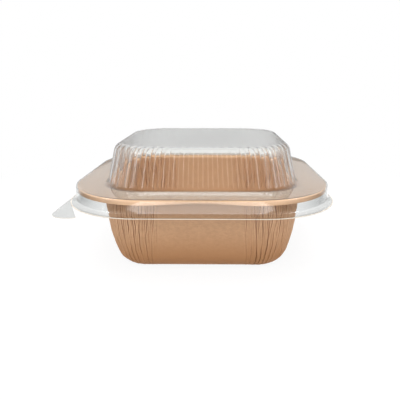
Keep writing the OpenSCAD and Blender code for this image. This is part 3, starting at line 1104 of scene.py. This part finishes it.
@dataclass
class ClearLid:
    """The lid: one formed sheet of clear film. Sizes are in metres."""

    film: float = 0.4 * MM
    clearance: float = 0.05 * MM
    flange_top: float = 50.9 * MM
    dome_height: float = 22.9 * MM
    dome_top_half: float = 48.1 * MM
    dome_top_corner: float = 21 * MM
    dome_foot_half: float = 56.8 * MM
    dome_foot_corner: float = 26 * MM
    shoulder_round: float = 5.1 * MM
    foot_round: float = 3.1 * MM
    bend_round: float = 0.9 * MM
    skirt_half: float = 76.2 * MM
    skirt_corner: float = 46.8 * MM
    skirt_height: float = 7.9 * MM
    skirt_draft: float = 0.3 * MM
    flare_run: float = 1.4 * MM
    flare_drop: float = 1.4 * MM
    flare_bend: float = 0.6 * MM
    lip_width: float = 0.9 * MM
    lip_sharpen: float = 4.4 * MM
    ribs: int = 18
    rib_height: float = 0.35 * MM
    rib_share: float = 0.66
    flank_share: float = 0.24
    tab_width: float = 14.2 * MM
    tab_corner: float = 8.5 * MM
    tab_trim: float = 1.2 * MM
    tab_inner_corner: float = 1.5 * MM
    tab_slant: float = 22.0
    tab_from: int = 5
    tab_cells: int = 2
    top_inset: float = 2 * MM
    flange_step: float = 4 * MM
    bend_steps: int = 8
    edge_steps: int = 6
    sharp_from: float = 40.0
    rib_steps: tuple[float, ...] = (0.0, 0.06, 0.12, 0.18, 0.24, 0.5, 0.76, 0.82, 0.88, 0.94, 1.0)

    def __post_init__(self) -> None:
        """Works out the dome's lean and the places of the flange and the lip."""
        run = self.dome_foot_half - self.dome_top_half - self.shoulder_round
        self.dome_lean = math.atan(run / (self.dome_height - self.shoulder_round))
        foot_turn = math.pi / 2 - self.dome_lean
        self.flange_inner = self.dome_foot_half + self.foot_round * math.tan(foot_turn / 2)
        self.lip_inner = self.skirt_half + self.skirt_draft + self.flare_run
        self.lip_outer = self.lip_inner + self.lip_width
        self.lip_top = self.flange_top - self.skirt_height - self.flare_drop
        self.wall_thickness = self.film - self.clearance

    def dome(self, inset: float) -> list[Ring]:
        """Makes the rings of one face of the dome.

        Args:
            inset: 0 on the outside, the film's thickness on the inside.

        Returns:
            Rings from the flat top to the flange.
        """
        rings, steps = [], self.bend_steps
        top = self.flange_top + self.dome_height
        rings.append(Ring(self.dome_top_half - self.top_inset, top - inset,
                          self.dome_top_corner - self.top_inset, 90.0))
        reach = self.shoulder_round - inset
        for i in range(steps + 1):
            a = mix(math.pi / 2, self.dome_lean, i / steps)
            run = reach * math.cos(a)
            rings.append(Ring(self.dome_top_half + run, top - self.shoulder_round + reach * math.sin(a),
                              self.dome_top_corner + run, math.degrees(a), smooth(i / steps * 2.4)))
        foot = []
        reach = self.foot_round + inset
        for i in range(steps + 1):
            a = mix(self.dome_lean, math.pi / 2, i / steps)
            half = self.flange_inner - reach * math.cos(a)
            foot.append(Ring(half, self.flange_top + self.foot_round - reach * math.sin(a),
                             self.dome_foot_corner + half - self.dome_foot_half, math.degrees(a),
                             1 - smooth(i / steps * 1.5)))
        a, b = rings[-1], foot[0]
        wall = [Ring(mix(a.half, b.half, t), mix(a.rise, b.rise, t), mix(a.corner, b.corner, t), a.tilt, 1.0)
                for t in (0.25, 0.5, 0.75)]
        return rings + wall + foot

    def skirt(self, inset: float) -> list[Ring]:
        """Makes the rings of one face of the flange's outer edge, the skirt and the lip.

        Args:
            inset: 0 on the outside, the film's thickness on the inside.

        Returns:
            Rings from the flange to the lip's edge.
        """
        line = [(self.flange_inner + self.flange_step, self.flange_top - inset)]
        reach = self.bend_round - inset
        for i in range(self.edge_steps + 1):
            a = math.pi / 2 * (1 - i / self.edge_steps)
            line.append((self.skirt_half - self.bend_round + reach * math.cos(a),
                         self.flange_top - self.bend_round + reach * math.sin(a)))
        foot, upright = self.flange_top - self.skirt_height, self.skirt_half + self.skirt_draft
        slope = math.atan(self.flare_drop / self.flare_run)
        knee = (upright - inset, foot - inset * math.tan((math.pi / 2 - slope) / 2))
        toe = (self.lip_inner - inset * math.tan(slope / 2), self.lip_top - inset)
        start, end = line[-1], (self.lip_outer, self.lip_top - inset)
        line += [(mix(start[0], knee[0], t), mix(start[1], knee[1], t)) for t in THIRDS[:2]]
        line += self.rounded(start, knee, toe) + self.rounded(knee, toe, end) + [end]
        rings = []
        for half, rise in line:
            flare = max(0.0, (half - upright) / (self.lip_outer - upright))
            corner = self.skirt_corner + half - self.skirt_half - self.lip_sharpen * flare
            rings.append(Ring(half, rise, corner))
        if not inset:
            rings[-1] = replace(rings[-1], side=1.0)
        return rings

    def rounded(self, before: tuple[float, float], at: tuple[float, float],
                after: tuple[float, float]) -> list[tuple[float, float]]:
        """Rounds a bend of the section.

        Args:
            before: The point before the bend.
            at: The bend.
            after: The point after it.

        Returns:
            Points on a short curve in place of the bend.
        """
        a, b, c = (np.array(p) for p in (before, at, after))
        a = b + (a - b) / np.linalg.norm(a - b) * self.flare_bend
        c = b + (c - b) / np.linalg.norm(c - b) * self.flare_bend
        points = [(1 - t) ** 2 * a + 2 * t * (1 - t) * b + t * t * c for t in (0, 0.33, 0.67, 1)]
        return [(float(p[0]), float(p[1])) for p in points]

    def turns(self) -> list[float]:
        """Makes the points of one quarter, in rib spacings, closer together over the ribs."""
        steps = [0.0] + [0.5 + self.rib_share * (t - 0.5) for t in self.rib_steps]
        return [rib + step for rib in range(self.ribs) for step in steps]

    def tab_outline(self) -> list[tuple[float, float]]:
        """Makes the tab's outline from its neck round its two corners and back.

        Returns:
            Points seen from above.
        """
        def arc(x: float, y: float, radius: float, start: float, end: float) -> list[tuple[float, float]]:
            """Points on an arc, in degrees."""
            angles = [math.radians(mix(start, end, i / self.bend_steps)) for i in range(self.bend_steps + 1)]
            return [(x + radius * math.cos(a), y + radius * math.sin(a)) for a in angles]

        big, small, edge = self.tab_corner, self.tab_inner_corner, -self.lip_outer
        far = edge + self.tab_trim
        return arc(edge + big, far + big, big, 180, 270) + arc(
            edge + self.tab_width - small, far + small, small, 270, 360 + self.tab_slant)

    def shell(self) -> Shell:
        """Makes the shell of rings with the pull tab.

        Returns:
            The shell.
        """
        inner = self.dome(self.wall_thickness) + self.skirt(self.wall_thickness)
        outer = self.dome(0) + self.skirt(0)
        made = Shell("clear_lid", inner + list(reversed(outer)), self.turns(), len(inner) - 1)
        per_rib = len(self.turns()) // self.ribs
        low, high = len(inner) - 1, len(inner)
        start = 2 * len(self.turns()) + self.tab_from * per_rib
        stop = start + self.tab_cells * per_rib
        outline = self.tab_outline()
        total = made.round_count * len(made.rings) + 2
        below = [total + i for i in range(len(outline))]
        above = [i + len(outline) for i in below]
        made.extra_points = [(x, y, self.lip_top - self.wall_thickness) for x, y in outline]
        made.extra_points += [(x, y, self.lip_top) for x, y in outline]
        faces = [[made.index(low, c), made.index(low, c + 1), made.index(high, c + 1), made.index(high, c)]
                 for c in range(stop, start + made.round_count)]
        lower = [made.index(low, start), *below, made.index(low, stop)]
        upper = [made.index(high, start), *above, made.index(high, stop)]
        faces += [[lower[i], lower[i + 1], upper[i + 1], upper[i]] for i in range(len(lower) - 1)]
        made.extra_sides = [1.0] * len(faces) + [0.0, 0.0]
        neck = range(start, stop + 1)
        faces.append(([made.index(high, c) for c in neck] + above[::-1])[::-1])
        faces.append([made.index(low, c) for c in neck] + below[::-1])
        made.extra_faces = faces
        return made

    def tree(self) -> PressTree:
        """Builds the tree that lays the rings and draws the ribs.

        Returns:
            The tree.
        """
        press = PressTree("Ribbed film", {
            "Panel half": 0.0, "Panel turns": 1.0, "Ribs": self.ribs, "Rib height": self.rib_height,
            "Rib share": self.rib_share, "Flank share": self.flank_share,
        })
        place = press.lay(press.turn, press.size("Panel half"), press.size("Panel turns"), press.size("Ribs"))
        share = press.size("Rib share")
        off = (press.turn.math("FRACT") - 0.5).math("ABSOLUTE")
        crest = (0.5 - off / share).ramp(0.0, press.size("Flank share"))
        press.finish(place, press.named("rise"), crest * press.size("Rib height") * press.named("press"), {})
        return press

    def build(self, finish: FilmFinish, edge: EdgeFinish) -> bpy.types.Object:
        """Builds and dresses the lid.

        Args:
            finish: Finish of the film.
            edge: Finish of its cut edge.

        Returns:
            The piece, riding on its body.
        """
        made = self.tree().press(self.shell().build(), finish.material(), edge.material())
        soften(made, self.sharp_from)
        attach(made, "lid")
        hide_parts("lid")
        return made


@dataclass(frozen=True)
class Lamp:
    """A soft lamp: its place, its width and height, its watts, and whether it shows in glossy surfaces."""

    name: str
    place: tuple[float, float, float]
    size: Span
    power: float
    gloss: bool = False
    aim: tuple[float, float, float] = (0.0, 0.0, 0.03)

    def build(self) -> None:
        """Hangs the lamp, facing the tray."""
        data = bpy.data.lights.new(self.name, "AREA")
        data.shape = "RECTANGLE"
        data.size, data.size_y = self.size
        data.energy = self.power
        made = bpy.data.objects.new(self.name, data)
        made.location = self.place
        way = Vector(self.aim) - Vector(self.place)
        made.rotation_euler = way.to_track_quat("-Z", "Y").to_euler()
        made.visible_camera = False
        made.visible_transmission = False
        made.visible_glossy = self.gloss
        bpy.context.scene.collection.objects.link(made)


@dataclass
class Studio:
    """A pale floor, a white backdrop, soft lamps and the camera. Sizes are in metres.

    The table values say how light the floor is in the film's reflections, by the way across and back. The
    others with four values map a share of the sky to a level of light.
    """

    floor_half: float = 4.0
    floor_gap: float = 0.1 * MM
    floor_albedo: float = 0.6
    shadow_reach: float = 0.32
    shadow_core: float = 0.4
    shadow_share: float = 0.1
    ambient: float = 0.5
    inner_gain: float = 0.6
    sky_back: Spread = (0.0, 0.7, 0.1, 0.82)
    sky_side: Spread = (0.3, 0.8, 0.1, 0.9)
    sky_zenith: Spread = (0.3, 0.85, 1.0, 0.22)
    horizon_back: Span = (0.5, 0.9)
    horizon_dark: Spread = (0.1, 0.155, 0.38, 0.64)
    horizon_top: Spread = (0.157, 0.166, 1.0, 0.0)
    table_middle: Spread = (0.05, 0.1, 2.4, 3.4)
    table_edge: Spread = (0.12, 0.165, 1.0, 0.03)
    table_behind: Spread = (0.02, 0.1, 0.0, 0.9)
    table_far: Spread = (0.3, 0.5, 0.0, 0.9)
    eye: tuple[float, float, float] = (8.67 * MM, -282.4 * MM, 110.3 * MM)
    pitch: float = 16.03
    yaw: float = 0.602
    lens: float = 37.68
    shift: float = -0.0297
    lamps: tuple[Lamp, ...] = (
        Lamp("overhead softbox", (0.0, 0.0, 1.0), (0.9, 0.9), 9.0),
        Lamp("left softbox", (-1.0, -0.5, 0.5), (0.25, 0.9), 3.0, True),
        Lamp("right softbox", (1.0, -0.5, 0.5), (0.25, 0.9), 3.0, True),
        Lamp("front softbox", (0.0, -1.1, 0.8), (1.2, 0.8), 10.0),
    )

    def floor(self) -> bpy.types.Object:
        """Makes the floor: white to the eye and in reflections, with the object's soft shadow on it.

        Returns:
            The floor.
        """
        s = self.floor_half
        mesh = bpy.data.meshes.new("floor")
        mesh.from_pydata([(-s, -s, 0), (s, -s, 0), (s, s, 0), (-s, s, 0)], [], [(0, 1, 2, 3)])
        made = bpy.data.objects.new("floor", mesh)
        made.location.z = -self.floor_gap
        bpy.context.scene.collection.objects.link(made)
        paint = bpy.data.materials.new("pale floor")
        paint.use_nodes = True
        tree = paint.node_tree
        tree.nodes.clear()
        add = tree.nodes.new
        place = add("ShaderNodeTexCoord").outputs["Object"]
        length = add("ShaderNodeVectorMath")
        length.operation = "LENGTH"
        tree.links.new(place, length.inputs[0])
        far = Field(tree, length.outputs["Value"])
        across = part(tree, place, "X").math("ABSOLUTE")
        away = far.ramp(self.shadow_reach * self.shadow_core, self.shadow_reach, 1 - self.shadow_share, 1.0)
        front = across.ramp(*self.table_middle) * across.ramp(*self.table_edge)
        behind = part(tree, place, "Y").ramp(*self.table_behind)
        table = front.at_least(behind).at_least(far.ramp(*self.table_far))
        straight, mirrored = seen_rays(tree)
        colour = straight * (1.0 - self.floor_albedo) + self.floor_albedo
        pale = dress(tree, add("ShaderNodeBsdfDiffuse"), {"Color": colour})
        white = dress(tree, add("ShaderNodeEmission"), {"Strength": straight + mirrored * table})
        both = add("ShaderNodeMixShader")
        feed(tree, both.inputs, (away * straight + mirrored, pale.outputs[0], white.outputs[0]))
        dress(tree, add("ShaderNodeOutputMaterial"), {"Surface": both.outputs[0]})
        mesh.materials.append(paint)
        return made

    def surroundings(self) -> None:
        """Makes the world: a white backdrop to the eye, and a studio that is darker above it for gloss."""
        world = bpy.data.worlds.new("studio")
        bpy.context.scene.world = world
        world.use_nodes = True
        tree = world.node_tree
        tree.nodes.clear()
        add = tree.nodes.new
        way = add("ShaderNodeTexCoord").outputs["Generated"]
        up, back = part(tree, way, "Z"), part(tree, way, "Y")
        side = part(tree, way, "X").math("ABSOLUTE")
        straight, mirrored = seen_rays(tree)
        studio = back.ramp(*self.sky_back).at_least(side.ramp(*self.sky_side))
        low = back.ramp(*self.horizon_back) * up.ramp(*self.horizon_dark) * up.ramp(*self.horizon_top)
        studio = studio * (1.0 - low) * up.ramp(*self.sky_zenith)
        rest = (1.0 - straight - mirrored).at_least(0.0)
        inner = Field(tree, add("ShaderNodeLightPath").outputs["Transmission Depth"]).at_most(1.0)
        strength = straight + mirrored * studio * (inner * self.inner_gain + 1.0) + rest * self.ambient
        ground = dress(tree, add("ShaderNodeBackground"), {"Color": (1.0,) * 4, "Strength": strength})
        dress(tree, add("ShaderNodeOutputWorld"), {"Surface": ground.outputs[0]})

    def camera(self) -> None:
        """Makes the camera at the photographed angle."""
        data = bpy.data.cameras.new("camera")
        data.lens = self.lens
        data.sensor_width = 36.0
        data.shift_x = self.shift
        data.clip_start, data.clip_end = 0.01, 50.0
        made = bpy.data.objects.new("camera", data)
        made.location = self.eye
        made.rotation_euler = (math.radians(90 - self.pitch), 0.0, math.radians(self.yaw))
        bpy.context.scene.collection.objects.link(made)
        bpy.context.scene.camera = made

    def build(self) -> None:
        """Builds the whole studio."""
        self.floor()
        self.surroundings()
        for lamp in self.lamps:
            lamp.build()
        self.camera()
        bpy.context.scene.view_settings.view_transform = "Standard"


def seen_rays(tree: bpy.types.NodeTree) -> tuple[Field, Field]:
    """Tells the rays that show a surface to the eye from the rays that light the object.

    Args:
        tree: The material's or the world's tree.

    Returns:
        1 for a ray straight from the camera or through clear film, and 1 for a ray that was mirrored.
    """
    path = tree.nodes.new("ShaderNodeLightPath")
    lit = Field(tree, path.outputs["Diffuse Depth"]).at_most(1.0)
    mirrored = Field(tree, path.outputs["Glossy Depth"]).at_most(1.0) * (1.0 - lit)
    straight = Field(tree, path.outputs["Is Camera Ray"]).at_least(
        Field(tree, path.outputs["Is Transmission Ray"]) * (1.0 - lit)) * (1.0 - mirrored)
    return straight, mirrored


def main() -> None:
    """Builds the studio and both pieces."""
    logging.basicConfig(level=logging.INFO, format="%(name)s: %(message)s")
    Studio().build()
    fibres = fibre_group()
    # Colours after the base: fibres, the folds' tone with painted shade, and the painted highlight of the
    # raised ridges.
    outside = BoardFinish("brown board", (188, 150, 116), (160, 120, 88), (122, 66, 36), (214, 176, 142),
                          roughness=0.8, coat=0.0, bump=0.25, foot_shade=1.0)
    # Same order; a foot_shade of 0 leaves out the painted shade at the foot.
    inside = BoardFinish("coated brown board", (199, 160, 123), (174, 132, 96), (120, 78, 50),
                         (214, 174, 139), roughness=0.6, coat=0.15, bump=0.15, foot_shade=0.0)
    film = FilmFinish("clear film", (251, 252, 251), (172, 174, 173), (232, 233, 233), (227, 229, 229),
                      roughness=0.04, index=1.5, shade=0.05)
    edge = EdgeFinish("cut edge of film", (250, 241, 226), roughness=0.45)
    tray = PaperTray().build(outside, inside, fibres)
    log.info("%s: %d points", tray.name, len(tray.data.vertices))
    lid = ClearLid().build(film, edge)
    log.info("%s: %d points", lid.name, len(lid.data.vertices))
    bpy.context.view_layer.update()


if __name__ == "__main__":
    main()
